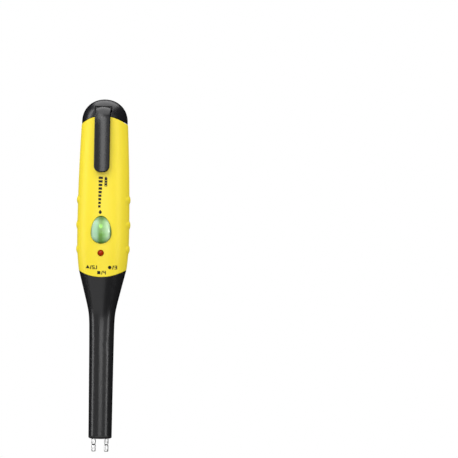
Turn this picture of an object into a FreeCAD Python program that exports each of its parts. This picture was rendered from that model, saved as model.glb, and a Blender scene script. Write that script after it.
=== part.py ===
import FreeCAD, Part
import math
import os

# Pen-shaped two-pin brake fluid tester: a yellow two-shell handle, a black flared probe with two
# plated pins, a pull-off cap with a pocket clip, a translucent push button and a mode light.
# Millimetres. +Z runs up the pen from the probe to the cap, and the front, with the button and the
# clip, faces -Y. The origin is the centre of the probe's end face, where the pins come out.

Vec = FreeCAD.Vector
AXIS_X = Vec(1, 0, 0)
AXIS_Y = Vec(0, 1, 0)
AXIS_Z = Vec(0, 0, 1)
FAR = 40.0                    # larger than any half size of the pen, for cutting blocks

# Handle: an oval that swells to its widest at SWELL_Z.
SWELL_Z = 101.0
HANDLE_HALF_WIDTH = 12.95
HANDLE_HALF_DEPTH = 11.0
WIDTH_FALL = (0.00374, 0.00044)    # fall of the half width per mm squared, below and above SWELL_Z
DEPTH_FALL = (0.00300, 0.00034)
HANDLE_POWER = 2.35           # a soft-cornered oval by the button
TOP_POWER = 2.0               # a plain ellipse at the cap
HANDLE_Z = (76.0, 166.0)
SHELL_WALL = 1.8
LOWER_SEAM = (80.7, 22.5)     # lowest point and radius of the curved joint with the probe
UPPER_SEAM = (160.4, 19.0)    # highest point and radius of the curved joint with the cap
SEAM_GAP = 0.15
EDGE_ROUND = 0.3

# Raised grip ribs on both sides of the handle.
RIB_Z = (94.5, 106.5, 119.0)
RIB_BALL = (3.0, 6.0, 3.6)    # half sizes of each rib's ellipsoid: out, along the side, up
RIB_PROUD = 0.6

# Probe: a slightly tapered tube that flares into the handle.
TUBE_HALF_WIDTH = 5.8
TUBE_HALF_DEPTH = 5.3
TUBE_TAPER = (0.0065, 0.006)     # gain in half width and half depth per mm of height
TUBE_POWER = 2.0
FLARE_Z = 62.2                # height of the soft bend where the flare begins
FLARE_BLEND = 3.5
FLARE_SLOPE = (0.249, 0.2134)
TUBE_WALL = 1.05
FLARE_WALL = 1.6
SPIGOT_Z = (72.0, 89.0)
SPIGOT_GAP = 0.1
SPIGOT_WALL = 1.4
RETAINER_Z = (86.3, 87.7)     # rib of the shells that sits in the spigot's groove
RETAINER_DEEP = 0.75
PLAY = 0.1
TAB_Z = (99.0, 119.0, 132.0, 145.0)

# Pins.
PIN_X = 3.2
PIN_RADIUS = 1.05
PIN_TIP_Z = -6.7
PIN_GROOVE_Z = -3.2
PIN_GROOVE = (0.6, 0.35)      # width, depth
PIN_TIP_ROUND = 0.4
SHANK_RADIUS = 0.85           # the part of the pin that the insert holds
SHANK_Z = (-0.3, 9.0)
TAIL_RADIUS = 0.5
TAIL_TOP_Z = 12.0
INSERT_Z = (0.25, 9.0)

# Button: two half ellipses that share their widest line make its egg outline.
EGG_Z = 102.3
EGG_HALF_WIDTH = 5.0
EGG_UP = 8.6
EGG_DOWN = 4.9
BUTTON_TOP_Y = -12.7
BUTTON_CROWN = 18.0
BUTTON_ROUND = 1.3
BUTTON_WALL = 1.2
BUTTON_ROOF = 1.5
BUTTON_GAP = 0.15
FLANGE_GROW = 1.2
FLANGE_Y = (-7.6, -6.6)
GUIDE_GROW = 2.4
GUIDE_Y = -7.75
POST_Z = 100.0
POST_RADIUS = 1.3

# Circuit board and what is on it.
BOARD_HALF_WIDTH = 8.4
BOARD_Z = (89.6, 109.9)
BOARD_Y = (-1.0, 0.2)
SCREWS = ((-6.4, 93.0), (6.4, 106.5))
SCREW_RADIUS = 0.78
SCREW_HEAD = (1.8, 1.2)
SWITCH_HALF = 3.0
SWITCH_TALL = 3.5
PLUNGER_RADIUS = 1.7
PLUNGER_Y = (-6.0, -3.0)
LED_RADIUS = 1.5
LED_RIM = (1.9, 1.0)
LED_LEAD_X = 1.27
MODE_LED_Z = 92.65
MODE_LED_Y = (-11.7, -6.3)
STATUS_LED_Z = 106.0
STATUS_LED_Y = (-8.9, -3.4)

# One AAA cell, its contacts and its cradle.
CELL_RADIUS = 5.25
CELL_Z = (112.5, 157.0)
CELL_NUB = (1.9, 1.0)
CRADLE_RADIUS = (5.45, 6.6)
CRADLE_TOP_Z = 148.0
BULKHEAD_Z = (110.7, 112.2)
BULKHEAD_FRONT_Y = -5.8
STRIP_X = (-7.7, -7.4)
STRIP_TOP_Z = 156.0
SHEET = 0.3                   # thickness of the pressed contacts

# Cap with its clip.
DOME_Z = (158.0, 169.25)
DOME_HALF = (11.4, 9.75)
DOME_POWER = 2.1
SKIRT_Z = 150.5
SKIRT_GAP = 0.12
SKIRT_WALL = 1.2
CEILING_Z = 161.5
CLIP_HALF_WIDTH = 3.9
CLIP_THICK = 2.1
CLIP_CROWN = 9.0              # radius of the outer face across the bar
CLIP_EDGE_RADIUS = 0.6
CLIP_END_RADIUS = 3.2
CLIP_LOW_Z = 132.5
CLIP_PATH = ((-6.4, 163.1), (-8.2, 162.9), (-9.8, 161.95), (-10.8, 160.0), (-11.25, 156.5),
             (-11.45, 151.0), (-11.6, 142.0), (-11.65, 132.0))    # (y, z) along the bar's inner face
CLIP_BUMP = (-11.75, 136.0, 1.05)
PIVOT_Y, PIVOT_Z = -5.9, 164.1
BEAD_RADIUS = 1.2
BEAD_PLAY = 0.05
SLOT_SIDE = 0.4
SLOT_Z = (162.5, 165.6)
NOTCH_Y = -7.5                # the dome is cut back to here behind the clip


# ---- Shapes that several pieces share -------------------------------------------------------

def fall(z, pair):
    return (pair[0] if z < SWELL_Z else pair[1]) * (z - SWELL_Z) ** 2


def blend(z, low, high):
    """0 below low, 1 above high, straight in between."""
    return min(1.0, max(0.0, (z - low) / (high - low)))


def handle_oval(z, inset=0.0):
    """Half width, half depth and power of the handle's section at height z, shrunk by inset."""
    power = HANDLE_POWER + (TOP_POWER - HANDLE_POWER) * blend(z, 110.0, 155.0)
    return (HANDLE_HALF_WIDTH - fall(z, WIDTH_FALL) - inset,
            HANDLE_HALF_DEPTH - fall(z, DEPTH_FALL) - inset, power)


def mouth_oval(z, inset=0.0):
    """The handle's open mouth, the same at every height, so that the cap's skirt slides straight out."""
    return handle_oval(UPPER_SEAM[0], SHELL_WALL + inset)


def probe_oval(z, inset=0.0):
    swell = (math.hypot(z - FLARE_Z, FLARE_BLEND) + z - FLARE_Z) / 2
    power = TUBE_POWER + (HANDLE_POWER - TUBE_POWER) * blend(z, 50.0, 78.0)
    return (TUBE_HALF_WIDTH + TUBE_TAPER[0] * z + FLARE_SLOPE[0] * swell - inset,
            TUBE_HALF_DEPTH + TUBE_TAPER[1] * z + FLARE_SLOPE[1] * swell - inset, power)


def oval_wire(z, half_width, half_depth, power, points=28):
    """A closed superellipse. Its seam lies at the back, off the plane where the shells part."""
    ring = []
    for k in range(points):
        turn = math.pi / 2 + 2 * math.pi * k / points
        c, s = math.cos(turn), math.sin(turn)
        reach = (abs(c / half_width) ** power + abs(s / half_depth) ** power) ** (-1 / power)
        ring.append(Vec(reach * c, reach * s, z))
    curve = Part.BSplineCurve()
    curve.interpolate(Points=ring, PeriodicFlag=True)
    return Part.Wire([curve.toShape()])


def heights(low, high, step):
    count = max(2, round((high - low) / step))
    return [low + (high - low) * k / count for k in range(count + 1)]


def oval_solid(section, low, high, inset=0.0, step=7.0):
    """A solid whose section at each height is section(z, inset). inset may depend on height."""
    shrink = inset if callable(inset) else (lambda z: inset)
    wires = [oval_wire(z, *section(z, shrink(z))) for z in heights(low, high, step)]
    return Part.makeLoft(wires, True, False)


def block(x, y, z):
    """A box from three (low, high) pairs."""
    return Part.makeBox(x[1] - x[0], y[1] - y[0], z[1] - z[0], Vec(x[0], y[0], z[0]))


def rod(radius, start, end, axis):
    """A cylinder from start to end, both points, along axis."""
    return Part.makeCylinder(radius, (end - start).Length, start, axis)


def y_rod(radius, x, z, low, high):
    return rod(radius, Vec(x, low, z), Vec(x, high, z), AXIS_Y)


def z_rod(radius, x, y, low, high):
    return rod(radius, Vec(x, y, low), Vec(x, y, high), AXIS_Z)


def joined(first, others):
    """The pieces fused into one solid, without its leftover edges where they come away cleanly."""
    fused = first.fuse(others)
    clean = fused.copy().removeSplitter()
    same = abs(clean.Volume - fused.Volume) < 1e-4 * fused.Volume
    return clean if same and clean.isValid() else fused


def mirrored(shape):
    return shape.mirror(Vec(0, 0, 0), AXIS_X)


def below_lower_seam(gap):
    """The space under the curved joint between probe and handle, gap lower than the joint."""
    low, radius = LOWER_SEAM
    centre = low + radius
    barrel = y_rod(radius + gap, 0, centre, -FAR, FAR)
    return block((-FAR, FAR), (-FAR, FAR), (-FAR, centre)).cut(barrel)


def above_upper_seam(gap):
    high, radius = UPPER_SEAM
    centre = high - radius
    barrel = y_rod(radius + gap, 0, centre, -FAR, FAR)
    return block((-FAR, FAR), (-FAR, FAR), (centre, centre + 2 * FAR)).cut(barrel)


def rounded(shape, radius, wanted):
    """shape with the edges that wanted() picks rounded, or as it was if they can't be."""
    edges = [e for e in shape.Edges if wanted(e)]
    try:
        done = shape.makeFillet(radius, edges)
    except (Part.OCCError, RuntimeError):
        done = None
    if done is None or not done.isValid() or done.Volume <= 0:
        print("an edge stayed sharp at radius", radius)
        return shape
    return done


def egg_face(grow, y):
    """The button's outline, grown all round, as a face at depth y."""
    wide = EGG_HALF_WIDTH + grow
    top = Part.Ellipse(Vec(0, y, EGG_Z + EGG_UP + grow), Vec(wide, y, EGG_Z), Vec(0, y, EGG_Z))
    low = Part.Ellipse(Vec(wide, y, EGG_Z), Vec(0, y, EGG_Z - EGG_DOWN - grow), Vec(0, y, EGG_Z))
    upper = Part.ArcOfEllipse(top, -math.pi / 2, math.pi / 2).toShape()
    lower = Part.ArcOfEllipse(low, 0, math.pi).toShape()
    return Part.Face(Part.Wire([upper, lower]))


def egg_prism(grow, low, high):
    return egg_face(grow, low).extrude(Vec(0, high - low, 0))


# ---- Handle shells --------------------------------------------------------------------------

def grip_rib(z):
    """One soft rib: an ellipsoid sunk into the handle's right side until it stands RIB_PROUD."""
    out, along, up = RIB_BALL
    stretch = FreeCAD.Matrix()
    stretch.scale(out, along, up)
    reach = handle_oval(z)[0] + RIB_PROUD - out
    return Part.makeSphere(1).transformGeometry(stretch).translated(Vec(reach, 0, z))


def handle_outside():
    bare = oval_solid(handle_oval, *HANDLE_Z)
    trimmed = bare.cut(below_lower_seam(0)).cut(above_upper_seam(0))
    middle = (HANDLE_Z[0] + HANDLE_Z[1]) / 2
    trimmed = rounded(trimmed, EDGE_ROUND, lambda e: e.Length > 20 and abs(e.BoundBox.Center.z - middle) > 30)
    ribs = [grip_rib(z) for z in RIB_Z]
    return joined(trimmed, ribs + [mirrored(r) for r in ribs])


def handle_ring(low, high, inward):
    """A rib round the inside of the handle, rooted in its wall."""
    outer = oval_solid(handle_oval, low, high, SHELL_WALL / 2, 1.0)
    return outer.cut(oval_solid(handle_oval, low - 1, high + 1, SHELL_WALL + inward, 1.0))


def handle_shells():
    outside = handle_outside()
    core = oval_solid(handle_oval, *HANDLE_Z, SHELL_WALL / 2)
    retainer = handle_ring(*RETAINER_Z, RETAINER_DEEP)
    shelf = handle_ring(BULKHEAD_Z[0] - 1.5, BULKHEAD_Z[0] - 0.05, 1.2)
    shelf = shelf.cut(block((-6.5, 6.5), (-FAR, 0), (0, 200)))
    cavity = oval_solid(handle_oval, *HANDLE_Z, SHELL_WALL).cut([retainer, shelf])
    tube = outside.cut(cavity)
    front = tube.common(block((-FAR, FAR), (-FAR, 0), (0, 200)))
    back = tube.common(block((-FAR, FAR), (0, FAR), (0, 200)))
    return front_shell(front, core), back_shell(back, core)


def front_shell(half, core):
    """core fills the handle up to the middle of its wall, and trims what is rooted in the wall."""
    guide = egg_prism(GUIDE_GROW, -FAR / 2, GUIDE_Y).common(core)
    shell = joined(half, [guide])
    shell = shell.cut(egg_prism(BUTTON_GAP, -FAR / 2, 0))
    return shell.cut(y_rod(LED_RADIUS + 0.1, 0, MODE_LED_Z, -FAR / 2, 0))


def back_shell(half, core):
    bosses = [y_rod(2.1, x, z, BOARD_Y[1] + 0.05, FAR / 2).common(core) for x, z in SCREWS]
    pilots = [y_rod(SCREW_RADIUS + 0.05, x, z, 0, 6.5) for x, z in SCREWS]
    tabs = [snap_tab(z).common(core) for z in TAB_Z]
    shell = joined(half, bosses + tabs + [mirrored(t) for t in tabs])
    return shell.cut(pilots)


def snap_tab(z):
    """A tab on the back shell's right wall that reaches just inside the front shell."""
    reach = handle_oval(z, SHELL_WALL + 0.3)[0]
    return block((reach - 1.2, reach), (-1.8, 6.0), (z - 2.5, z + 2.5))


# ---- Probe ----------------------------------------------------------------------------------

def spigot_solid(extra=0.0, low=SPIGOT_Z[0], high=SPIGOT_Z[1]):
    return oval_solid(handle_oval, low, high, SHELL_WALL + SPIGOT_GAP + extra, 3.0)


def hollow_oval(z, inset):
    """Inside of the probe: a constant wall up the tube, then the inside of the spigot."""
    if z < SPIGOT_Z[0] + 0.01:
        return probe_oval(z, inset)
    share = blend(z, SPIGOT_Z[0], SPIGOT_Z[0] + 8)
    tube = probe_oval(z, FLARE_WALL)
    sleeve = handle_oval(z, SHELL_WALL + SPIGOT_GAP + SPIGOT_WALL)
    return tuple(t + (s - t) * share for t, s in zip(tube, sleeve))


def probe_shaft():
    flare = oval_solid(probe_oval, 0, 86, 0, 4.0).common(below_lower_seam(SEAM_GAP))
    flare = rounded(flare, 0.55, lambda e: abs(e.BoundBox.ZMax) < 0.01)
    groove = spigot_solid(-1.0, RETAINER_Z[0] - PLAY, RETAINER_Z[1] + PLAY)
    groove = groove.cut(spigot_solid(RETAINER_DEEP + PLAY - SPIGOT_GAP, 85, 89))
    body = joined(flare, [spigot_solid()]).cut(groove)
    wall = lambda z: TUBE_WALL + (FLARE_WALL - TUBE_WALL) * blend(z, 50, SPIGOT_Z[0])
    return body.cut(oval_solid(hollow_oval, -1, SPIGOT_Z[1] + 1, wall, 4.0))


def probe_insert():
    plug = oval_solid(probe_oval, *INSERT_Z, TUBE_WALL + 0.03, 3.0)
    holes = [z_rod(SHANK_RADIUS + 0.02, x, 0, -1, SHANK_Z[1] + 1) for x in (-PIN_X, PIN_X)]
    return plug.cut(holes)


def pin(x):
    wide, deep = PIN_GROOVE
    low, high = SHANK_Z
    free = z_rod(PIN_RADIUS, x, 0, PIN_TIP_Z, low)
    free = rounded(free, PIN_TIP_ROUND, lambda e: abs(e.BoundBox.ZMax - PIN_TIP_Z) < 0.01)
    ring = z_rod(PIN_RADIUS + 1, x, 0, PIN_GROOVE_Z - wide / 2, PIN_GROOVE_Z + wide / 2)
    ring = ring.cut(z_rod(PIN_RADIUS - deep, x, 0, PIN_GROOVE_Z - 1, PIN_GROOVE_Z + 1))
    held = [z_rod(SHANK_RADIUS, x, 0, low, high), z_rod(TAIL_RADIUS, x, 0, high, TAIL_TOP_Z)]
    return joined(free.cut(ring), held)


def bent_tube(points, radius):
    """A tube along straight runs joined by the largest tangent arcs that the runs have room for."""
    edges, start = [], points[0]
    for before, corner, after in zip(points, points[1:], points[2:]):
        into, out = (corner - before), (after - corner)
        turn = into.getAngle(out)
        bend = 0.45 * min(into.Length, out.Length) / math.tan(turn / 2)
        print("lead bend radius", round(bend, 1), "mm")
        trim = bend * math.tan(turn / 2)
        into.normalize()
        out.normalize()
        first, last = corner - into * trim, corner + out * trim
        inward = out - into
        inward.normalize()
        middle = corner + inward * (bend / math.cos(turn / 2) - bend)
        edges += [Part.LineSegment(start, first).toShape(), Part.Arc(first, middle, last).toShape()]
        start = last
    edges.append(Part.LineSegment(start, points[-1]).toShape())
    path = Part.Wire(edges)
    profile = Part.Wire([Part.makeCircle(radius, points[0], points[1] - points[0])])
    return path.makePipeShell([profile], True, False)


def lead(side):
    """The insulated wire from one pin, up the probe, to its pad on the back of the board."""
    route = [(3.2, 0, 12.0), (3.2, 0, 24.0), (1.7, 0.5, 40.0), (1.9, 0.2, 62.0), (3.6, 1.5, 78.0),
             (3.6, 0.85, 92.0)]
    return bent_tube([Vec(side * x, y, z) for x, y, z in route], 0.55)


# ---- Board ----------------------------------------------------------------------------------

def lead_holes(z):
    return [y_rod(0.4, x, z, -5, 5) for x in (-LED_LEAD_X, LED_LEAD_X)]


def circuit_board():
    slab = block((-BOARD_HALF_WIDTH, BOARD_HALF_WIDTH), BOARD_Y, BOARD_Z)
    slab = rounded(slab, 1.5, lambda e: abs(e.BoundBox.YLength - (BOARD_Y[1] - BOARD_Y[0])) < 1e-3)
    holes = [y_rod(1.1, x, z, -5, 5) for x, z in SCREWS]
    return slab.cut(holes + lead_holes(MODE_LED_Z) + lead_holes(STATUS_LED_Z))


def board_screw(x, z):
    radius, tall = SCREW_HEAD
    head = y_rod(radius, x, z, BOARD_Y[0] - tall, BOARD_Y[0])
    head = rounded(head, 0.5, lambda e: abs(e.BoundBox.YMax - (BOARD_Y[0] - tall)) < 0.01)
    face = BOARD_Y[0] - tall
    slots = [block((x - a, x + a), (face - 1, face + 0.6), (z - b, z + b))
             for a, b in ((1.0, 0.2), (0.2, 1.0))]
    return joined(head, [y_rod(SCREW_RADIUS, x, z, BOARD_Y[0] - 0.3, 5.5)]).cut(slots)


def led_lens(z, tip, base):
    """A round 3 mm light: rim, barrel and rounded tip, lying along Y."""
    rim, thick = LED_RIM
    barrel = y_rod(LED_RADIUS, 0, z, tip, base)
    barrel = barrel.common(joined(y_rod(LED_RADIUS, 0, z, tip + LED_RADIUS, base),
                                  [Part.makeSphere(LED_RADIUS, Vec(0, tip + LED_RADIUS, z))]))
    return joined(barrel, [y_rod(rim, 0, z, base - thick, base)])


def led_leads(z, base):
    posts = [block((x - 0.25, x + 0.25), (base, 1.0), (z - 0.25, z + 0.25))
             for x in (-LED_LEAD_X, LED_LEAD_X)]
    return Part.makeCompound(posts)


def switch_body():
    front = BOARD_Y[0] - SWITCH_TALL
    case = block((-SWITCH_HALF, SWITCH_HALF), (front, BOARD_Y[0]),
                 (POST_Z - SWITCH_HALF, POST_Z + SWITCH_HALF))
    case = rounded(case, 0.4, lambda e: e.BoundBox.YLength > 3)
    return case.cut(y_rod(PLUNGER_RADIUS + 0.1, 0, POST_Z, front - 1, PLUNGER_Y[1] + 0.8))


def switch_plunger():
    post = y_rod(PLUNGER_RADIUS, 0, POST_Z, *PLUNGER_Y)
    return rounded(post, 0.3, lambda e: abs(e.BoundBox.YMax - PLUNGER_Y[0]) < 0.01)


def microcontroller():
    back = BOARD_Y[1]
    body = block((-1.95, 1.95), (back + 0.1, back + 1.6), (94.1, 103.9))
    legs = []
    for k in range(8):
        z = 99.0 + (k - 3.5) * 1.2
        for side in (-1, 1):
            x = sorted((side * 1.8, side * 2.6))
            foot = sorted((side * 2.35, side * 3.0))
            legs.append(block(x, (back + 0.6, back + 0.85), (z - 0.2, z + 0.2)))
            legs.append(block(foot, (back, back + 0.25), (z - 0.2, z + 0.2)))
            legs.append(block(sorted((side * 2.35, side * 2.6)), (back, back + 0.85), (z - 0.2, z + 0.2)))
    return joined(body, legs)


def chips(places, thick):
    """Surface-mounted two-ended chips on the back of the board."""
    back = BOARD_Y[1]
    return Part.makeCompound([block((x - 0.65, x + 0.65), (back, back + thick), (z - 1.0, z + 1.0))
                              for x, z in places])


def boost_inductor():
    back = BOARD_Y[1]
    drum = y_rod(1.9, -5.3, 104.6, back, back + 2.2)
    waist = y_rod(3, -5.3, 104.6, back + 0.5, back + 1.7).cut(y_rod(1.45, -5.3, 104.6, back, back + 2.2))
    return drum.cut(waist)


# ---- Cell and contacts ----------------------------------------------------------------------

def cell_can():
    can = z_rod(CELL_RADIUS, 0, 0, CELL_Z[0] + CELL_NUB[1], CELL_Z[1])
    return rounded(can, 0.5, lambda e: e.Length > 20 and e.BoundBox.ZLength < 0.1)


def cell_nub():
    nub = z_rod(CELL_NUB[0], 0, 0, CELL_Z[0], CELL_Z[0] + CELL_NUB[1])
    return rounded(nub, 0.3, lambda e: abs(e.BoundBox.ZMax - CELL_Z[0]) < 0.01)


def cell_cradle():
    """The trough behind the cell and the bulkhead under it, in one moulding."""
    inner, outer = CRADLE_RADIUS
    trough = z_rod(outer, 0, 0, BULKHEAD_Z[0], CRADLE_TOP_Z).cut(z_rod(inner, 0, 0, BULKHEAD_Z[1], 200))
    trough = trough.common(block((-FAR, FAR), (0.3, FAR), (0, 200)))
    plate = oval_solid(handle_oval, *BULKHEAD_Z, SHELL_WALL + 0.2, 0.5)
    plate = plate.common(block((-FAR, FAR), (BULKHEAD_FRONT_Y, FAR), (0, 200)))
    tab_slot = block((1.85, 4.15), (0.05, 0.65), (100, 130))
    strip_slot = block((STRIP_X[0] - 0.15, STRIP_X[1] + 0.15), (-1.7, 1.7), (100, 130))
    return joined(plate, [trough]).cut([tab_slot, strip_slot])


def positive_contact():
    back = BOARD_Y[1]
    plate = z_rod(3.2, 0, 0, BULKHEAD_Z[1], CELL_Z[0])
    arm = block((2.0, 4.0), (back, 1.2), (BULKHEAD_Z[1], CELL_Z[0]))
    tab = block((2.0, 4.0), (back, back + SHEET), (104.5, CELL_Z[0]))
    return joined(plate, [arm, tab])


def return_strip():
    """The strip that brings the cap's contact down to the board."""
    back = BOARD_Y[1]
    tall = block(STRIP_X, (-1.5, 1.5), (BOARD_Z[1] + 0.3, STRIP_TOP_Z))
    foot = block(STRIP_X, (back, 1.5), (106.0, BOARD_Z[1] + 0.3))
    lead_in = block((STRIP_X[0] - 0.2, STRIP_X[0] + SHEET), (-1.5, 1.5), (STRIP_TOP_Z - 0.5, STRIP_TOP_Z))
    return joined(tall, [foot, lead_in])


def cap_contact():
    high = CEILING_Z
    ear_x = (STRIP_X[1] + 0.1, STRIP_X[1] + 0.1 + SHEET)
    disc = z_rod(4.4, 0, 0, high - SHEET, high)
    arm = block((ear_x[0], 0), (-1.2, 1.2), (high - SHEET, high))
    ear = block(ear_x, (-1.2, 1.2), (153.0, high))
    return joined(disc, [arm, ear])


def cell_spring():
    wire, radius = 0.25, 3.3
    low, high = CELL_Z[1] + wire, CEILING_Z - SHEET - wire
    helix = Part.makeHelix((high - low) / 3.5, high - low, radius)
    helix.translate(Vec(0, 0, low))
    profile = Part.Wire([Part.makeCircle(wire, Vec(radius, 0, low), AXIS_Y)])
    return Part.Wire(helix.Edges).makePipeShell([profile], True, True)


# ---- Cap and clip ---------------------------------------------------------------------------

def dome_solid():
    """A solid of revolution with a full, rounded crown, then pressed to the handle's depth."""
    foot, top = DOME_Z
    wide, deep = DOME_HALF
    tall = top - foot
    crown = []
    for k in range(17):
        turn = math.pi / 2 * k / 16
        crown.append(Vec(wide * math.cos(turn) ** (2 / DOME_POWER), 0,
                         foot + tall * math.sin(turn) ** (2 / DOME_POWER)))
    curve = Part.BSplineCurve()
    curve.interpolate(Points=crown, InitialTangent=AXIS_Z, FinalTangent=Vec(-1, 0, 0))
    low = SKIRT_Z - 1
    sides = [Part.LineSegment(Vec(0, 0, top), Vec(0, 0, low)),
             Part.LineSegment(Vec(0, 0, low), Vec(wide, 0, low)),
             Part.LineSegment(Vec(wide, 0, low), Vec(wide, 0, foot))]
    outline = Part.Wire([curve.toShape()] + [s.toShape() for s in sides])
    outline = Part.Wire(Part.__sortEdges__(outline.Edges))
    solid = Part.Face(outline).revolve(Vec(0, 0, 0), AXIS_Z, 360)
    press = FreeCAD.Matrix()
    press.scale(1, deep / wide, 1)
    return solid.transformGeometry(press)


def rear_cap():
    half = CLIP_HALF_WIDTH + SLOT_SIDE
    notch = block((-half, half), (-FAR, NOTCH_Y), (SKIRT_Z, SLOT_Z[1]))
    dome = dome_solid().common(above_upper_seam(SEAM_GAP)).cut(notch)
    skirt = oval_solid(mouth_oval, SKIRT_Z, CEILING_Z, SKIRT_GAP, 6.0)
    hollow = oval_solid(mouth_oval, SKIRT_Z - 2, CEILING_Z, SKIRT_GAP + SKIRT_WALL, 6.0)
    slot = block((-half, half), (-FAR, PIVOT_Y), SLOT_Z)
    socket = rod(BEAD_RADIUS + BEAD_PLAY, Vec(-half, PIVOT_Y, PIVOT_Z), Vec(half, PIVOT_Y, PIVOT_Z), AXIS_X)
    return joined(dome, [skirt]).cut([hollow, slot, socket])


def smooth_line(points):
    curve = Part.BSplineCurve()
    curve.interpolate(Points=points)
    return curve


def clip_side(x):
    """The clip's bar cut lengthwise at x: its inner line, and the same line moved out by its thickness."""
    thick = CLIP_THICK - CLIP_CROWN + math.sqrt(CLIP_CROWN ** 2 - x ** 2)
    inner = smooth_line([Vec(x, y, z) for y, z in CLIP_PATH])
    moved = []
    for k in range(13):
        t = inner.FirstParameter + (inner.LastParameter - inner.FirstParameter) * k / 12
        along = inner.tangent(t)[0]
        moved.append(inner.value(t) + Vec(0, along.z, -along.y) * thick)
    outer = smooth_line(moved)
    foot = Part.LineSegment(inner.EndPoint, outer.EndPoint)
    head = Part.LineSegment(outer.StartPoint, inner.StartPoint)
    pieces = [inner.toShape(), foot.toShape(), outer.toShape(), head.toShape()]
    return Part.Wire(Part.__sortEdges__(pieces))


def on_clip_front(edge):
    """True for the long edges of the bar's outer face and for its lower end's outline."""
    middle = edge.valueAt((edge.FirstParameter + edge.LastParameter) / 2)
    return middle.y < CLIP_PATH[-1][0] - 0.3 * CLIP_THICK and edge.Length > 1.5


def pocket_clip():
    """A crowned bar that leaves the cap, follows its dome and runs down the handle's front."""
    low, half = CLIP_LOW_Z, CLIP_HALF_WIDTH
    stations = [half * k / 4 for k in range(-4, 5)]
    bar = Part.makeLoft([clip_side(x) for x in stations], True, False)
    outline = block((-half - 1, half + 1), (-FAR, FAR), (low - 1, low + FAR))
    window = block((-half, half), (-FAR - 1, FAR + 1), (low, low + 2 * FAR))
    on_foot = lambda e: e.BoundBox.YLength > 10 and e.BoundBox.ZMax < low + 0.1
    window = rounded(window, CLIP_END_RADIUS, on_foot)
    bar = bar.cut(outline.cut(window))
    bar = rounded(bar, CLIP_EDGE_RADIUS, on_clip_front)
    y, z, radius = CLIP_BUMP
    bump = rod(radius, Vec(-half + 0.3, y, z), Vec(half - 0.3, y, z), AXIS_X)
    bead = rod(BEAD_RADIUS, Vec(-half, PIVOT_Y, PIVOT_Z), Vec(half, PIVOT_Y, PIVOT_Z), AXIS_X)
    return joined(bar, [bump, bead])


# ---- Button ---------------------------------------------------------------------------------

def push_button():
    """A hollow translucent cap with a flange that stops it from falling out and a post for the switch."""
    crown = Part.makeSphere(BUTTON_CROWN, Vec(0, BUTTON_TOP_Y + BUTTON_CROWN, EGG_Z + 1.5))
    cap = egg_prism(0, -FAR / 2, FLANGE_Y[1]).common(crown)
    cap = rounded(cap, BUTTON_ROUND, lambda e: e.BoundBox.YMax < FLANGE_Y[0] - 1 and e.BoundBox.YLength < 3)
    flange = egg_prism(FLANGE_GROW, *FLANGE_Y)
    hollow = egg_prism(-BUTTON_WALL, BUTTON_TOP_Y + BUTTON_ROOF, 0)
    post = y_rod(POST_RADIUS, 0, POST_Z, BUTTON_TOP_Y + 1, PLUNGER_Y[0])
    return joined(joined(cap, [flange]).cut(hollow), [post])


def build():
    front, back = handle_shells()
    return {
        "front_shell": front,
        "back_shell": back,
        "probe_shaft": probe_shaft(),
        "probe_insert": probe_insert(),
        "electrode_left": pin(-PIN_X),
        "electrode_right": pin(PIN_X),
        "electrode_lead_left": lead(-1),
        "electrode_lead_right": lead(1),
        "circuit_board": circuit_board(),
        "board_screws": Part.makeCompound([board_screw(x, z) for x, z in SCREWS]),
        "mode_led_lens": led_lens(MODE_LED_Z, *MODE_LED_Y),
        "mode_led_leads": led_leads(MODE_LED_Z, MODE_LED_Y[1]),
        "status_led_lens": led_lens(STATUS_LED_Z, *STATUS_LED_Y),
        "status_led_leads": led_leads(STATUS_LED_Z, STATUS_LED_Y[1]),
        "switch_body": switch_body(),
        "switch_plunger": switch_plunger(),
        "microcontroller": microcontroller(),
        "chip_resistors": chips([(5.2, 95.0), (5.2, 97.4), (-5.2, 99.4)], 0.5),
        "chip_capacitors": chips([(5.2, 99.8), (-5.2, 97.0)], 0.9),
        "boost_inductor": boost_inductor(),
        "cell_can": cell_can(),
        "cell_nub": cell_nub(),
        "cell_cradle": cell_cradle(),
        "cell_spring": cell_spring(),
        "positive_contact": positive_contact(),
        "return_strip": return_strip(),
        "cap_contact": cap_contact(),
        "rear_cap": rear_cap(),
        "pocket_clip": pocket_clip(),
        "push_button": push_button(),
    }


os.makedirs("parts", exist_ok=True)
for name, shape in build().items():
    box = shape.optimalBoundingBox(True, False)
    print(f"{name:22s} solids {len(shape.Solids)} valid {shape.isValid()} volume {shape.Volume:9.2f}",
          f"z {box.ZMin:.2f} {box.ZMax:.2f} y {box.YMin:.2f} {box.YMax:.2f} x {box.XMin:.2f} {box.XMax:.2f}")
    shape.exportStep(f"parts/{name}.step")
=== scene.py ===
import math

import bmesh
import bpy
from mathutils import Matrix, Vector
from mathutils.bvhtree import BVHTree

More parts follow.
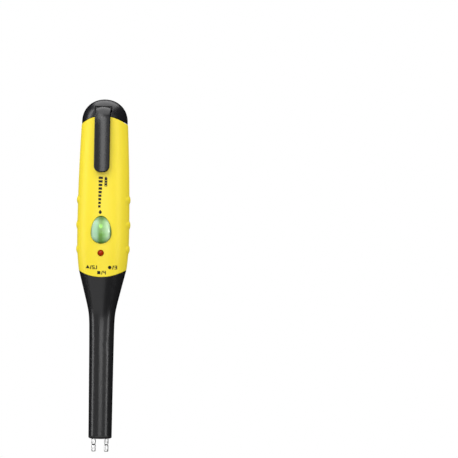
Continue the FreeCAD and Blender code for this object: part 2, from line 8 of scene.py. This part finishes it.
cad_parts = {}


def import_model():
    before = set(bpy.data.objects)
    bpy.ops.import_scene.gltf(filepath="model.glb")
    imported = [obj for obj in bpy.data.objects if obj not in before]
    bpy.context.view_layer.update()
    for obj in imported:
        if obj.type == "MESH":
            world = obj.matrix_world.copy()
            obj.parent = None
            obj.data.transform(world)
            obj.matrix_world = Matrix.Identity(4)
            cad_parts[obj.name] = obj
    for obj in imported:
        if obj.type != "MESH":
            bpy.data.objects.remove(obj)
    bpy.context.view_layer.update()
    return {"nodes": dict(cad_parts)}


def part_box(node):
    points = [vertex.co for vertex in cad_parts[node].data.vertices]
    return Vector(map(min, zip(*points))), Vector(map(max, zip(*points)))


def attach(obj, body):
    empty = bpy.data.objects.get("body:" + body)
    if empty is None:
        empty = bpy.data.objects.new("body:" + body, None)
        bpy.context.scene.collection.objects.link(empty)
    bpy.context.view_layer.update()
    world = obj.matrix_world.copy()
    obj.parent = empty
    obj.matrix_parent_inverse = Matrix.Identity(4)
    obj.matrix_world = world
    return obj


# Looks for the two-pin pen tester. Metres, in the CAD frame: +Z up the pen, front facing -Y.

MM = 0.001

# The camera looks along the floor from a little to the front's right, rolled slightly. The pen
# stands left of the middle of the picture.
VIEW_TURN = math.radians(2.4)
VIEW_ROLL = math.radians(0.9)
VIEW_DISTANCE = 1.0
VIEW_WIDTH = 0.229             # the picture's width at the pen
VIEW_HEIGHT = 0.1055           # the picture's middle, above the probe's end
PEN_OFFSET = 0.06285           # the picture's middle, right of the pen
VIEW_FAR = 20.0                # nothing beyond this is drawn
SENSOR = 36.0                  # in mm, as the lens is

# Noise, in cells per metre, and the range that holds most of its values.
MOTTLE = 120.0
SCUFFS = 600.0
NOISE_LOW = 0.3
NOISE_HIGH = 0.7

# Where looks change along the pen: the lip of the probe's tube, from dull and painted dark as shade to
# clear, and the pins' turned groove, painted dark as shade.
PROBE_SHADED_LIP_Z = (0.9 * MM, 1.5 * MM)
PIN_GROOVE_Z = (-3.6 * MM, -2.8 * MM)

# The button's colours across it and up it, each at a share of its size.
# Across: the pale bands near both sides are painted reflections; the dark rims and the dark middle are
# painted shade.
BUTTON_SHADE_AND_REFLECTION_ACROSS = (
    (0.10, (0.20, 0.42, 0.16)),
    (0.18, (0.60, 0.88, 0.62)),
    (0.34, (0.50, 0.80, 0.54)),
    (0.45, (0.20, 0.45, 0.08)),
    (0.54, (0.20, 0.45, 0.08)),
    (0.64, (0.36, 0.66, 0.26)),
    (0.79, (0.66, 0.94, 0.58)),
    (0.84, (0.66, 0.94, 0.58)),
    (0.89, (0.12, 0.26, 0.06)),
)
# Up: the darker ends are painted shade.
BUTTON_SHADE_UP = (
    (0.08, (0.40, 0.55, 0.40)),
    (0.28, (1.0, 1.0, 1.0)),
    (0.74, (1.0, 1.0, 1.0)),
    (0.90, (0.30, 0.42, 0.22)),
)

# The lit spot of the green light, off its middle because the button bends the view.
GLOW_SHIFT = Vector((-0.5 * MM, 0, -0.4 * MM))
GLOW_RADIUS = 1.45 * MM
GLOW_CORE = 0.3                # share of the radius that glows in full
GLOW_STRENGTH = 11.0
GLOW_COLOUR = (0.9, 1.0, 0.6, 1)

# The film of ink: how far it stands out of the handle, how thick it is, and how far in front of the
# handle the search for its skin starts.
INK_PROUD = 0.02 * MM
INK_THICK = 0.04 * MM
RAY_START = Vector((0, -0.05, 0))

# Printed marks, in mm on the handle's front.
INK_STEP = 0.9                 # longest piece of a bar, so that it follows the handle's curve
SIDE_PIECES = 3                # pieces of a shape's side, for the same reason
ROUND = 32                     # corners of a round shape
WEDGE_X = (-1.55, 0.55)
WEDGE_Z = (115.1, 130.4)
WEDGE_BARS = 9
WEDGE_FILL = 0.66              # share of each bar's pitch that is inked
WEDGE_NARROW = 0.55            # width of the lowest bar against the highest
BATTERY_X = (1.4, 2.7)
BATTERY_Z = (125.6, 130.4)
BATTERY_LINE = 0.28
BATTERY_NUB = (0.6, 0.45)      # width, height
BATTERY_BARS = 3
DROPLET_X = -0.5
DROPLET_Z = (112.0, 114.1)
DROPLET_RADIUS = 0.75
DROPLET_TURN = (140, 400)      # its round part, from one shoulder under it to the other
# Legends: name, left, low, height, corners and radius of the shape in front, figures.
LEGENDS = (
    ("legend_left", -7.45, 84.6, 1.85, 3, 1.15, "/5.1"),
    ("legend_right", 3.6, 84.6, 1.85, ROUND, 0.85, "/3"),
    ("legend_middle", -1.75, 82.0, 1.8, 4, 1.1, "/4"),
)
LEGEND_GAP = 0.2
SLASH = (0.95, 0.48)           # width, stroke
CELL_WIDE = 1.15               # a cell's width against its height
CELLS = {                      # digits as rows of cells, from the top
    "1": ("#", "#", "#", "#", "#"),
    "3": ("###", "  #", "###", "  #", "###"),
    "4": ("# #", "# #", "###", "  #", "  #"),
    "5": ("###", "#  ", "###", "  #", "###"),
    ".": (" ", " ", " ", " ", "#"),
}

# The studio. The floor is just under the pins.
FLOOR_Z = -7.0 * MM
FLOOR_RADIUS = 1.5
BACKDROP_RADIUS = 6.0
WORLD_STRENGTH = 0.80
AIM = Vector((0, 0, 0.09))     # what the lights point at
# Boxes: name, degrees from the front towards +X, height, distance from the pen, size, radiance. The
# first ones make highlights only. The last ones shade the shapes too.
HIGHLIGHT_BOXES = (
    ("front_box", 1, 0.45, 1.6, (0.90, 1.25), 3.6),
    ("left_strip", -76, 0.32, 0.8, (0.22, 1.04), 4.4),
    ("right_strip", 59, 0.32, 0.8, (0.20, 1.04), 4.4),
    ("left_fill", -42, 0.30, 1.2, (0.9, 1.0), 0.35),
    ("right_fill", 33, 0.30, 1.2, (0.9, 1.0), 0.6),
    ("low_fill", -30, -0.36, 0.8, (1.2, 0.4), 0.75),
    ("button_kick", 48, 0.10, 0.8, (0.6, 0.06), 22.0),
)
SHADING_BOXES = (
    ("top_box", 0, 1.2, 0.0, (1.4, 2.0), 2.2),
    ("key_box", -25, 0.9, 1.2, (0.8, 0.8), 3.0),
)
# INCLUDE makes a light reach only these nodes, and EXCLUDE all but these.
REACH = {
    "right_strip": ("EXCLUDE", ("pocket_clip", "rear_cap")),
    "button_kick": ("INCLUDE", ("push_button",)),
}


# ---- Shader helpers -------------------------------------------------------------------------

class Nodes:
    """A material's node tree, with short calls for the nodes that the looks below share."""

    def __init__(self, name):
        self.material = bpy.data.materials.new(name)
        self.material.use_nodes = True
        self.tree = self.material.node_tree
        self.shader = self.tree.nodes["Principled BSDF"]
        self.place = self.tree.nodes.new("ShaderNodeTexCoord").outputs["Object"]

    def add(self, kind, **settings):
        node = self.tree.nodes.new(kind)
        for key, value in settings.items():
            setattr(node, key, value)
        return node

    def feed(self, socket, value):
        """Sets a socket, by link if value is another node's output."""
        if isinstance(value, bpy.types.NodeSocket):
            self.tree.links.new(value, socket)
        else:
            socket.default_value = value

    def noise(self, scale, detail=3.0, stretch=(1, 1, 1)):
        """Noise of so many cells per metre, stretched per axis."""
        mapping = self.add("ShaderNodeMapping")
        self.feed(mapping.inputs["Vector"], self.place)
        self.feed(mapping.inputs["Scale"], stretch)
        node = self.add("ShaderNodeTexNoise")
        self.feed(node.inputs["Vector"], mapping.outputs["Vector"])
        self.feed(node.inputs["Scale"], scale)
        self.feed(node.inputs["Detail"], detail)
        return node.outputs["Fac"]

    def ramp(self, value, low, high):
        """A straight blend of value from 0..1 to low..high."""
        node = self.add("ShaderNodeMapRange")
        self.feed(node.inputs["Value"], value)
        self.feed(node.inputs["To Min"], low)
        self.feed(node.inputs["To Max"], high)
        return node.outputs["Result"]

    def share(self, value, low, high, blend="LINEAR"):
        """0..1 as value goes from low to high."""
        node = self.add("ShaderNodeMapRange", interpolation_type=blend)
        self.feed(node.inputs["Value"], value)
        self.feed(node.inputs["From Min"], low)
        self.feed(node.inputs["From Max"], high)
        return node.outputs["Result"]

    def along(self, axis, low, high):
        """0..1 from low to high along one of the part's axes."""
        split = self.add("ShaderNodeSeparateXYZ")
        self.feed(split.inputs["Vector"], self.place)
        return self.share(split.outputs[axis], low, high)

    def colours(self, value, stops):
        """Colours along value: stops are (position, (r, g, b))."""
        node = self.add("ShaderNodeValToRGB")
        self.feed(node.inputs["Fac"], value)
        marks = node.color_ramp.elements
        while len(marks) < len(stops):
            marks.new(0.5)
        for mark, (position, colour) in zip(marks, stops):
            mark.position = position
            mark.color = (*colour, 1)
        return node.outputs["Color"]

    def mottled(self, noise, dark, light):
        return self.colours(noise, ((NOISE_LOW, dark), (NOISE_HIGH, light)))

    def vector(self, operation, *values):
        node = self.add("ShaderNodeVectorMath", operation=operation)
        for socket, value in zip(node.inputs, values):
            self.feed(socket, value)
        return node.outputs

    def bump(self, value, distance, strength, under=None):
        """A bump on top of the normal under, if there is one."""
        node = self.add("ShaderNodeBump")
        self.feed(node.inputs["Height"], value)
        self.feed(node.inputs["Distance"], distance)
        self.feed(node.inputs["Strength"], strength)
        if under:
            self.feed(node.inputs["Normal"], under)
        return node.outputs["Normal"]

    def soft_edges(self, radius):
        node = self.add("ShaderNodeBevel", samples=4)
        self.feed(node.inputs["Radius"], radius)
        return node.outputs["Normal"]

    def use(self, **inputs):
        """Sets the shader's sockets. Their names are written with underscores."""
        for key, value in inputs.items():
            self.feed(self.shader.inputs[key.replace("_", " ")], value)
        return self.material


def tint(colour, share):
    return tuple(c * share for c in colour)


def moulded(name, colour, rough, grain=9000.0, depth=0.01 * MM, spread=0.05, edge=0.2 * MM, **more):
    """Moulded plastic: fine spark-eroded grain, a faint flow mottle and softened edges."""
    n = Nodes(name)
    mottle = n.noise(MOTTLE, 2.0, (1, 1, 0.35))
    base = n.mottled(mottle, tint(colour, 1 - spread), tint(colour, 1 + spread))
    scuff = n.ramp(n.noise(SCUFFS, 4.0), rough - 0.05, rough + 0.05)
    normal = n.bump(n.noise(grain, 2.0), depth, 0.6, n.soft_edges(edge))
    return n.use(Base_Color=base, Roughness=scuff, Normal=normal, **more)


def metal(name, colour, rough, brushed):
    """Metal with fine lines. Brushed stretches them per axis."""
    n = Nodes(name)
    lines = n.noise(2500.0, 3.0, brushed)
    base = n.mottled(n.noise(300.0), tint(colour, 0.93), colour)
    scuff = n.ramp(lines, rough * 0.8, rough * 1.3)
    normal = n.bump(lines, 0.006 * MM, 0.4, n.soft_edges(0.1 * MM))
    return n.use(Base_Color=base, Metallic=1.0, Roughness=scuff, Normal=normal)


# ---- Looks of the pieces --------------------------------------------------------------------

def yellow_plastic():
    return moulded("yellow_plastic", (0.855, 0.69, 0.022), 0.42, spread=0.015, edge=0.25 * MM,
                   Specular_IOR_Level=0.3, Subsurface_Weight=0.08, Subsurface_Radius=(1.0, 0.7, 0.1),
                   Subsurface_Scale=0.8 * MM)


def probe_plastic_lip_shade():
    """Moulded black nylon with a duller lip at the tube's end, its colour darkened there as painted shade.
    """
    n = Nodes("probe_plastic_lip_shade")
    clear = n.along("Z", *PROBE_SHADED_LIP_Z)
    # The lip's near-black base colour is painted shade of the tube's rounded end; its higher roughness is
    # real.
    base = n.colours(clear, ((0.0, (0.002, 0.002, 0.002)), (1.0, (0.012, 0.012, 0.013))))
    scuff = n.add("ShaderNodeMath", operation="ADD")
    n.feed(scuff.inputs[0], n.ramp(clear, 0.60, 0.0))
    n.feed(scuff.inputs[1], n.ramp(n.noise(SCUFFS, 4.0), 0.19, 0.29))
    normal = n.bump(n.noise(7000.0, 2.0), 0.02 * MM, 0.6, n.soft_edges(0.2 * MM))
    return n.use(Base_Color=base, Roughness=scuff.outputs["Value"], Normal=normal)


def cap_plastic():
    return moulded("cap_plastic", (0.009, 0.009, 0.011), 0.26, grain=6000.0, depth=0.03 * MM, spread=0.12)


def pin_plate_groove_shade():
    """Bright plate, with painted shade in the pin's turned groove."""
    n = Nodes("pin_plate_groove_shade")
    bright, painted_groove_shade = (0.96, 0.96, 0.96), (0.10, 0.10, 0.10)
    # The groove's dark base colour is painted shade.
    groove = n.along("Z", *PIN_GROOVE_Z)
    shine = n.colours(groove, ((0.0, bright), (0.15, painted_groove_shade), (0.85, painted_groove_shade), (1.0, bright)))
    return n.use(Base_Color=shine, Metallic=1.0, Roughness=n.ramp(n.noise(400.0), 0.26, 0.30))


def button_plastic_painted_light():
    """Milky green plastic with painted light: painted reflections in pale bands near both sides, painted
    shade in the dark middle where the light and the switch stand behind it, at the rims and at both ends.
    """
    n = Nodes("button_plastic_painted_light")
    low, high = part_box("push_button")
    # Painted reflections and painted shade across the button, painted shade at its ends.
    across = n.colours(n.along("X", low.x, high.x), BUTTON_SHADE_AND_REFLECTION_ACROSS)
    painted_shade_ends = n.colours(n.along("Z", low.z, high.z), BUTTON_SHADE_UP)
    base = n.vector("MULTIPLY", across, painted_shade_ends)["Vector"]
    ripple = n.bump(n.noise(1500.0, 2.0), 0.008 * MM, 0.5)
    return n.use(Base_Color=base, Roughness=n.ramp(n.noise(900.0), 0.14, 0.20), IOR=1.46,
                 Transmission_Weight=0.35, Normal=ripple)


def red_lens():
    n = Nodes("red_lens")
    base = n.mottled(n.noise(500.0), (0.30, 0.016, 0.0005), (0.36, 0.022, 0.001))
    return n.use(Base_Color=base, Roughness=n.ramp(n.noise(1500.0), 0.08, 0.12), Specular_IOR_Level=0.14,
                 Subsurface_Weight=0.2, Subsurface_Radius=(1.0, 0.1, 0.05), Subsurface_Scale=0.6 * MM)


def green_lens():
    """The lit green light: it glows from one small spot, as the chip inside does."""
    n = Nodes("green_lens")
    base = n.mottled(n.noise(500.0), (0.20, 0.50, 0.20), (0.24, 0.58, 0.24))
    low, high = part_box("status_led_lens")
    middle = (low + high) / 2
    spot = Vector((middle.x, low.y, middle.z)) + GLOW_SHIFT
    away = n.vector("SUBTRACT", n.place, spot)["Vector"]
    reach = n.vector("LENGTH", away)["Value"]
    fade = n.share(reach, GLOW_RADIUS, GLOW_CORE * GLOW_RADIUS, "SMOOTHSTEP")
    return n.use(Base_Color=base, Roughness=n.ramp(n.noise(1500.0), 0.15, 0.22),
                 Emission_Color=GLOW_COLOUR, Emission_Strength=n.ramp(fade, 0.0, GLOW_STRENGTH))


def board_mask():
    """Solder mask with paler copper tracks showing through it."""
    n = Nodes("board_mask")
    turned = n.add("ShaderNodeMapping")
    n.feed(turned.inputs["Vector"], n.place)
    n.feed(turned.inputs["Rotation"], (math.radians(90), 0, 0))
    tracks = n.add("ShaderNodeTexBrick", offset=0.37)
    n.feed(tracks.inputs["Vector"], turned.outputs["Vector"])
    n.feed(tracks.inputs["Scale"], 420.0)
    n.feed(tracks.inputs["Mortar Size"], 0.035)
    n.feed(tracks.inputs["Color1"], (0.012, 0.16, 0.05, 1))
    n.feed(tracks.inputs["Color2"], (0.014, 0.19, 0.06, 1))
    n.feed(tracks.inputs["Mortar"], (0.04, 0.30, 0.10, 1))
    scuff = n.ramp(n.noise(800.0), 0.25, 0.38)
    relief = n.bump(tracks.outputs["Fac"], 0.03 * MM, 0.5)
    return n.use(Base_Color=tracks.outputs["Color"], Roughness=scuff, Normal=relief)


def cell_sleeve():
    """Printed sleeve: copper-coloured at the positive end, then dark, then the can's bare end."""
    n = Nodes("cell_sleeve")
    low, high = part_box("cell_can")
    dark = (0.012, 0.02, 0.045)
    base = n.colours(n.along("Z", low.z, high.z), (
        (0.0, (0.45, 0.20, 0.05)), (0.22, (0.42, 0.18, 0.045)), (0.225, dark), (0.97, dark),
        (0.98, (0.60, 0.60, 0.62))))
    return n.use(Base_Color=base, Metallic=0.35, Roughness=n.ramp(n.noise(700.0), 0.22, 0.32))


def printed_ink():
    n = Nodes("printed_ink")
    base = n.mottled(n.noise(3000.0), (0.006, 0.006, 0.006), (0.016, 0.016, 0.015))
    return n.use(Base_Color=base, Roughness=n.ramp(n.noise(5000.0), 0.40, 0.55), Specular_IOR_Level=0.15)


def dress(frame):
    """Gives every CAD node its material."""
    yellow, probe, cap = yellow_plastic(), probe_plastic_lip_shade(), cap_plastic()
    pin = pin_plate_groove_shade()
    plated = metal("nickel_plate", (0.93, 0.93, 0.94), 0.10, (1, 1, 0.2))
    steel = metal("spring_steel", (0.60, 0.60, 0.62), 0.28, (0.2, 1, 1))
    brass = metal("contact_brass", (0.80, 0.60, 0.26), 0.24, (1, 0.3, 1))
    grey = moulded("cradle_plastic", (0.20, 0.20, 0.21), 0.45)
    epoxy = moulded("chip_epoxy", (0.016, 0.016, 0.018), 0.40, spread=0.2)
    looks = {
        "front_shell": yellow, "back_shell": yellow,
        "probe_shaft": probe, "probe_insert": moulded("insert_plastic", (0.006, 0.006, 0.006), 0.5),
        "rear_cap": cap, "pocket_clip": cap,
        "push_button": button_plastic_painted_light(),
        "electrode_left": pin, "electrode_right": pin, "cell_nub": plated,
        "mode_led_leads": plated, "status_led_leads": plated,
        "cell_spring": steel, "board_screws": steel,
        "positive_contact": brass, "return_strip": brass, "cap_contact": brass,
        "cell_cradle": grey, "switch_plunger": moulded("plunger_plastic", (0.62, 0.64, 0.56), 0.45),
        "switch_body": epoxy, "microcontroller": epoxy, "chip_resistors": epoxy,
        "chip_capacitors": moulded("chip_ceramic", (0.40, 0.27, 0.14), 0.5),
        "boost_inductor": moulded("ferrite", (0.05, 0.05, 0.055), 0.6, spread=0.25),
        "electrode_lead_left": moulded("lead_black", (0.012, 0.012, 0.012), 0.4),
        "electrode_lead_right": moulded("lead_red", (0.45, 0.02, 0.015), 0.4),
        "circuit_board": board_mask(),
        "cell_can": cell_sleeve(),
        "mode_led_lens": red_lens(),
        "status_led_lens": green_lens(),
    }
    for node, material in looks.items():
        slots = frame["nodes"][node].data.materials
        slots.clear()
        slots.append(material)


# ---- Printed marks --------------------------------------------------------------------------
# Every shape is a list of flat outlines, and an outline is a list of (x, z) in mm.

def steps(low, high):
    """Even divisions, none longer than INK_STEP."""
    count = math.ceil((high - low) / INK_STEP)
    return [low + (high - low) * k / count for k in range(count + 1)]


def bar(left, right, low, high):
    """A rectangle in small pieces."""
    across, up = steps(left, right), steps(low, high)
    return [[(a, c), (b, c), (b, d), (a, d)] for a, b in zip(across, across[1:]) for c, d in zip(up, up[1:])]


def arc(x, z, radius, start, end, count):
    """Points round a centre. Angles are in degrees, anticlockwise from the right."""
    turns = [math.radians(start + (end - start) * k / count) for k in range(count + 1)]
    return [(x + radius * math.cos(t), z + radius * math.sin(t)) for t in turns]


def fan(x, z, rim):
    """Triangles from a middle point to a line of points."""
    return [[(x, z), a, b] for a, b in zip(rim, rim[1:])]


def polygon(x, z, radius, corners):
    """A regular shape with a flat foot, standing in a circle."""
    first = 90 + (180 / corners if corners % 2 == 0 else 0)
    tips = arc(x, z, radius, first, first + 360, corners)
    rim = []
    for (a, b), (c, d) in zip(tips, tips[1:]):
        rim += [(a + (c - a) * k / SIDE_PIECES, b + (d - b) * k / SIDE_PIECES) for k in range(SIDE_PIECES)]
    return fan(x, z, rim + rim[:1])


def droplet(x, low, high, radius):
    sides = arc(x, low + radius, radius, *DROPLET_TURN, ROUND)
    return fan(x, low + radius, [(x, high)] + sides + [(x, high)])


def level_marks():
    """A level wedge: bars that grow wider as they climb."""
    left, right = WEDGE_X
    low, high = WEDGE_Z
    pitch = (high - low) / (WEDGE_BARS - 1 + WEDGE_FILL)
    marks = []
    for k in range(WEDGE_BARS):
        share = WEDGE_NARROW + (1 - WEDGE_NARROW) * k / (WEDGE_BARS - 1)
        start = low + pitch * k
        marks += bar(left, left + share * (right - left), start, start + WEDGE_FILL * pitch)
    return marks


def battery_marks():
    """A battery symbol standing on end: a frame, a nub and charge bars."""
    left, right = BATTERY_X
    low, high = BATTERY_Z
    wide, tall = BATTERY_NUB
    middle, body = (left + right) / 2, high - tall
    inner_left, inner_right = left + BATTERY_LINE, right - BATTERY_LINE
    marks = bar(left, inner_left, low, body) + bar(inner_right, right, low, body)
    marks += bar(inner_left, inner_right, low, low + BATTERY_LINE)
    marks += bar(inner_left, inner_right, body - BATTERY_LINE, body)
    marks += bar(middle - wide / 2, middle + wide / 2, body, high)
    pitch = (body - low - 2 * BATTERY_LINE) / BATTERY_BARS
    for k in range(BATTERY_BARS):
        start = low + BATTERY_LINE + pitch * k
        marks += bar(inner_left, inner_right, start + BATTERY_LINE, start + pitch)
    return marks


def slash(x, z, tall):
    """A slash and its width."""
    wide, line = SLASH
    return [[(x, z), (x + line, z), (x + wide, z + tall), (x + wide - line, z + tall)]], wide


def digit(sign, x, z, tall):
    """A digit built from cells, and its width."""
    rows = CELLS[sign]
    cell = tall / len(rows)
    wide = CELL_WIDE * cell
    marks = []
    for up, row in enumerate(reversed(rows)):
        for right, mark in enumerate(row):
            if mark == "#":
                marks += bar(x + right * wide, x + (right + 1) * wide, z + up * cell, z + (up + 1) * cell)
    return marks, len(rows[0]) * wide


def figures(text, x, z, tall):
    """Digits and slashes in a line, with their left lower corner at x, z."""
    marks = []
    for sign in text:
        shapes, wide = slash(x, z, tall) if sign == "/" else digit(sign, x, z, tall)
        marks += shapes
        x += wide + LEGEND_GAP
    return marks


def mesh_object(name, shape, material):
    """Turns a bmesh into an object of the scene."""
    mesh = bpy.data.meshes.new(name)
    shape.to_mesh(mesh)
    shape.free()
    mesh.materials.append(material)
    piece = bpy.data.objects.new(name, mesh)
    bpy.context.scene.collection.objects.link(piece)
    return piece


def inked(name, shapes, skin, ink):
    """A printed mark: flat shapes laid on the handle's front as a closed film of ink."""
    film = bmesh.new()
    for shape in shapes:
        film.faces.new([film.verts.new((x * MM, 0, z * MM)) for x, z in shape])
    bmesh.ops.remove_doubles(film, verts=film.verts, dist=0.001 * MM)
    for vert in film.verts:
        hit = skin.ray_cast(vert.co + RAY_START, -RAY_START)[0]
        vert.co.y = hit.y - INK_PROUD
    sunk = bmesh.ops.extrude_face_region(film, geom=film.faces[:], use_keep_orig=True)["geom"]
    back = [part for part in sunk if isinstance(part, bmesh.types.BMVert)]
    bmesh.ops.translate(film, vec=(0, INK_THICK, 0), verts=back)
    bmesh.ops.recalc_face_normals(film, faces=film.faces)
    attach(mesh_object(name, film, ink), "handle")


def print_marks(frame):
    shell = frame["nodes"]["front_shell"].data
    skin = BVHTree.FromPolygons([v.co for v in shell.vertices], [f.vertices for f in shell.polygons])
    ink = printed_ink()
    inked("level_wedge", level_marks(), skin, ink)
    inked("battery_symbol", battery_marks(), skin, ink)
    inked("droplet_symbol", droplet(DROPLET_X, *DROPLET_Z, DROPLET_RADIUS), skin, ink)
    for name, x, z, tall, corners, radius, text in LEGENDS:
        shape = polygon(x + tall / 2, z + tall / 2, radius, corners)
        inked(name, shape + figures(text, x + tall + LEGEND_GAP, z, tall), skin, ink)


# ---- Camera, light and floor ----------------------------------------------------------------

def make_camera():
    forward = Vector((-math.sin(VIEW_TURN), math.cos(VIEW_TURN), 0))
    level = Vector((math.cos(VIEW_TURN), math.sin(VIEW_TURN), 0))
    right = level * math.cos(VIEW_ROLL) + Vector((0, 0, math.sin(VIEW_ROLL)))
    up = Vector((0, 0, math.cos(VIEW_ROLL))) - level * math.sin(VIEW_ROLL)
    data = bpy.data.cameras.new("camera")
    data.sensor_width = SENSOR
    data.lens = SENSOR * VIEW_DISTANCE / VIEW_WIDTH
    data.clip_end = VIEW_FAR
    camera = bpy.data.objects.new("camera", data)
    bpy.context.scene.collection.objects.link(camera)
    turn = Matrix((right, up, -forward)).transposed().to_4x4()
    spot = Vector((0, 0, VIEW_HEIGHT)) + level * PEN_OFFSET - forward * VIEW_DISTANCE
    camera.matrix_world = Matrix.Translation(spot) @ turn
    bpy.context.scene.camera = camera


def softbox(name, azimuth, height, distance, size, shine, shades):
    """A rectangular light aimed at the pen, with the radiance shine.

    One that doesn't shade makes highlights, and leaves the even light on the shapes to the world.
    """
    data = bpy.data.lights.new(name, "AREA")
    data.shape = "RECTANGLE"
    data.size, data.size_y = size
    data.energy = shine * math.pi * size[0] * size[1]
    light = bpy.data.objects.new(name, data)
    bpy.context.scene.collection.objects.link(light)
    light.visible_diffuse = shades
    turn = math.radians(azimuth)
    light.location = Vector((math.sin(turn) * distance, -math.cos(turn) * distance, height))
    light.rotation_mode = "QUATERNION"
    light.rotation_quaternion = (AIM - light.location).to_track_quat("-Z", "Y")
    return light


def choose(light, state, pieces):
    """Makes the light reach only these pieces, or all but these."""
    chosen = bpy.data.collections.new(light.name + "_pieces")
    for piece in pieces:
        chosen.objects.link(piece)
    for linked in chosen.collection_objects:
        linked.light_linking.link_state = state
    light.light_linking.receiver_collection = chosen


def make_lights(frame):
    for box in HIGHLIGHT_BOXES:
        light = softbox(*box, shades=False)
        if light.name in REACH:
            state, nodes = REACH[light.name]
            choose(light, state, [frame["nodes"][node] for node in nodes])
    for box in SHADING_BOXES:
        softbox(*box, shades=True)


def make_world():
    """Even white light that makes no highlights."""
    world = bpy.data.worlds.new("world")
    bpy.context.scene.world = world
    world.use_nodes = True
    background = world.node_tree.nodes["Background"]
    background.inputs["Color"].default_value = (1, 1, 1, 1)
    background.inputs["Strength"].default_value = WORLD_STRENGTH
    world.cycles_visibility.glossy = False


def glowing_white():
    material = bpy.data.materials.new("studio_white")
    material.use_nodes = True
    tree = material.node_tree
    tree.nodes.clear()
    light = tree.nodes.new("ShaderNodeEmission")
    light.inputs["Color"].default_value = (1, 1, 1, 1)
    light.inputs["Strength"].default_value = 1.0
    surface = tree.nodes.new("ShaderNodeOutputMaterial").inputs["Surface"]
    tree.links.new(light.outputs["Emission"], surface)
    return material


def stage_piece(name, shape, material):
    """A piece of the studio that only the camera sees, so that it doesn't wash out the black plastic."""
    piece = mesh_object(name, shape, material)
    piece.visible_diffuse = False
    piece.visible_glossy = False
    piece.visible_transmission = False
    piece.visible_shadow = False
    return piece


def make_stage():
    white = glowing_white()
    ball = bmesh.new()
    bmesh.ops.create_icosphere(ball, subdivisions=4, radius=BACKDROP_RADIUS)
    stage_piece("backdrop", ball, white)
    disc = bmesh.new()
    bmesh.ops.create_circle(disc, cap_ends=True, segments=96, radius=FLOOR_RADIUS)
    floor = stage_piece("floor", disc, white)
    floor.location.z = FLOOR_Z


# ---- The scene ------------------------------------------------------------------------------

def build():
    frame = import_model()
    dress(frame)
    print_marks(frame)
    make_camera()
    make_stage()
    make_world()
    make_lights(frame)
    bpy.context.scene.view_settings.view_transform = "Standard"


build()
